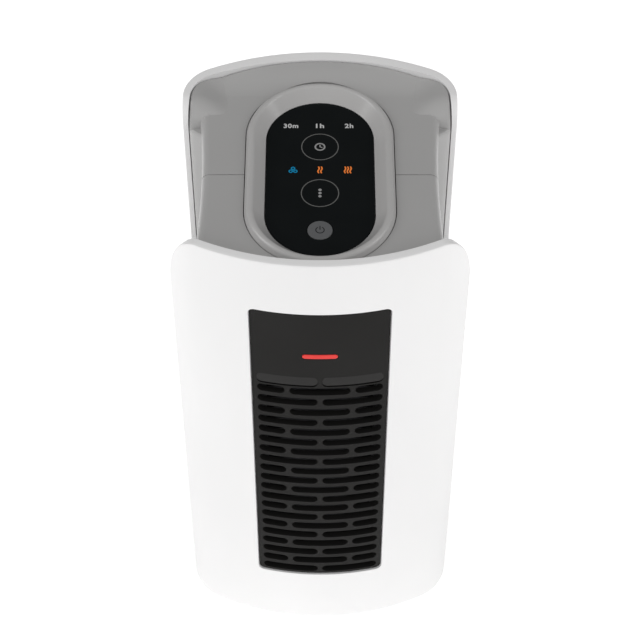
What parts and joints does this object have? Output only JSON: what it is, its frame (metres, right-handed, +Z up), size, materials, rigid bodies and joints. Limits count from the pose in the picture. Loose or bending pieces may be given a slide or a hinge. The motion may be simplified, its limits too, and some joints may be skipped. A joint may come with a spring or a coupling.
{
  "type": "boot dryer",
  "caption": "Free-standing warm-air boot dryer with curved front and rear covers, a touch panel on top, a slotted front grille and fold-out drying arms at the sides.",
  "frame": {"origin": "middle of the footprint, on the plane that the feet stand on", "axes": "+Z up, -Y towards the front cover and its grille, +X to the right as seen from the front"},
  "size_m": [0.1684, 0.1704, 0.3575],
  "materials": {
    "white_plastic": "satin white moulded plastic",
    "grey_plastic": "satin mid-grey moulded plastic",
    "bezel_plastic": "semi-gloss grey plastic",
    "black_plastic": "matte black moulded plastic",
    "panel_glass": "gloss black touch glass, opaque",
    "button_plastic": "satin dark grey plastic",
    "light_lens": "red light lens",
    "circuit_board": "green circuit board",
    "dark_plastic": "matte dark plastic",
    "foam": "open foam",
    "steel": "plain steel",
    "aluminium": "plain aluminium fins",
    "rubber": "matte black rubber",
    "arm_plastic": "satin dark grey plastic"
  },
  "bodies": {
    "housing": {"front_cover": "white_plastic", "rear_cover": "white_plastic", "front_housing": "grey_plastic", "rear_housing": "grey_plastic", "grille": "black_plastic", "rear_grille": "black_plastic", "light_bar": "light_lens", "light_board": "circuit_board", "panel_bezel": "bezel_plastic", "panel_glass": "panel_glass", "control_board": "circuit_board", "button_switch": "dark_plastic", "touch_pad_timer": "foam", "touch_pad_mode": "foam", "fan_baffle": "dark_plastic", "motor_bracket": "steel", "fan_motor": "dark_plastic", "heater_frame": "dark_plastic", "heater_core": "aluminium", "thermal_cutout": "steel", "power_board": "circuit_board", "inlet_socket": "dark_plastic", "intake_filter": "foam", "base_plate": "dark_plastic", "foot_front_left": "rubber", "foot_front_right": "rubber", "foot_rear_left": "rubber", "foot_rear_right": "rubber", "base_screw_front_left": "steel", "base_screw_front_right": "steel", "base_screw_rear_left": "steel", "base_screw_rear_right": "steel", "hinge_pin_left": "steel", "hinge_pin_right": "steel", "hinge_bracket_left": "steel", "hinge_bracket_right": "steel"},
    "power_key": {"power_button": "button_plastic"},
    "fan": {"fan_wheel": "dark_plastic", "fan_shaft": "steel"},
    "left_arm": {"arm_left": "arm_plastic", "arm_nozzle_left": "dark_plastic"},
    "right_arm": {"arm_right": "arm_plastic", "arm_nozzle_right": "dark_plastic"}
  },
  "joints": [
    {"name": "power_button_press", "type": "slide", "parent": "housing", "child": "power_key", "axis": [0, 0, -1], "range_m": [0, 0.0007], "stiffness_N_per_m": 600, "springref_m": -0.0004},
    {"name": "fan_spin", "type": "hinge", "parent": "housing", "child": "fan", "pos_m": [0, 0, 0.15], "axis": [0, 1, 0], "continuous": true},
    {"name": "left_arm_fold", "type": "hinge", "parent": "housing", "child": "left_arm", "pos_m": [-0.0665, -0.0055, 0.028], "axis": [0, -1, 0], "range_deg": [0, 50]},
    {"name": "right_arm_fold", "type": "hinge", "parent": "housing", "child": "right_arm", "pos_m": [0.0665, -0.0055, 0.028], "axis": [0, 1, 0], "range_deg": [0, 50]}
  ]
}
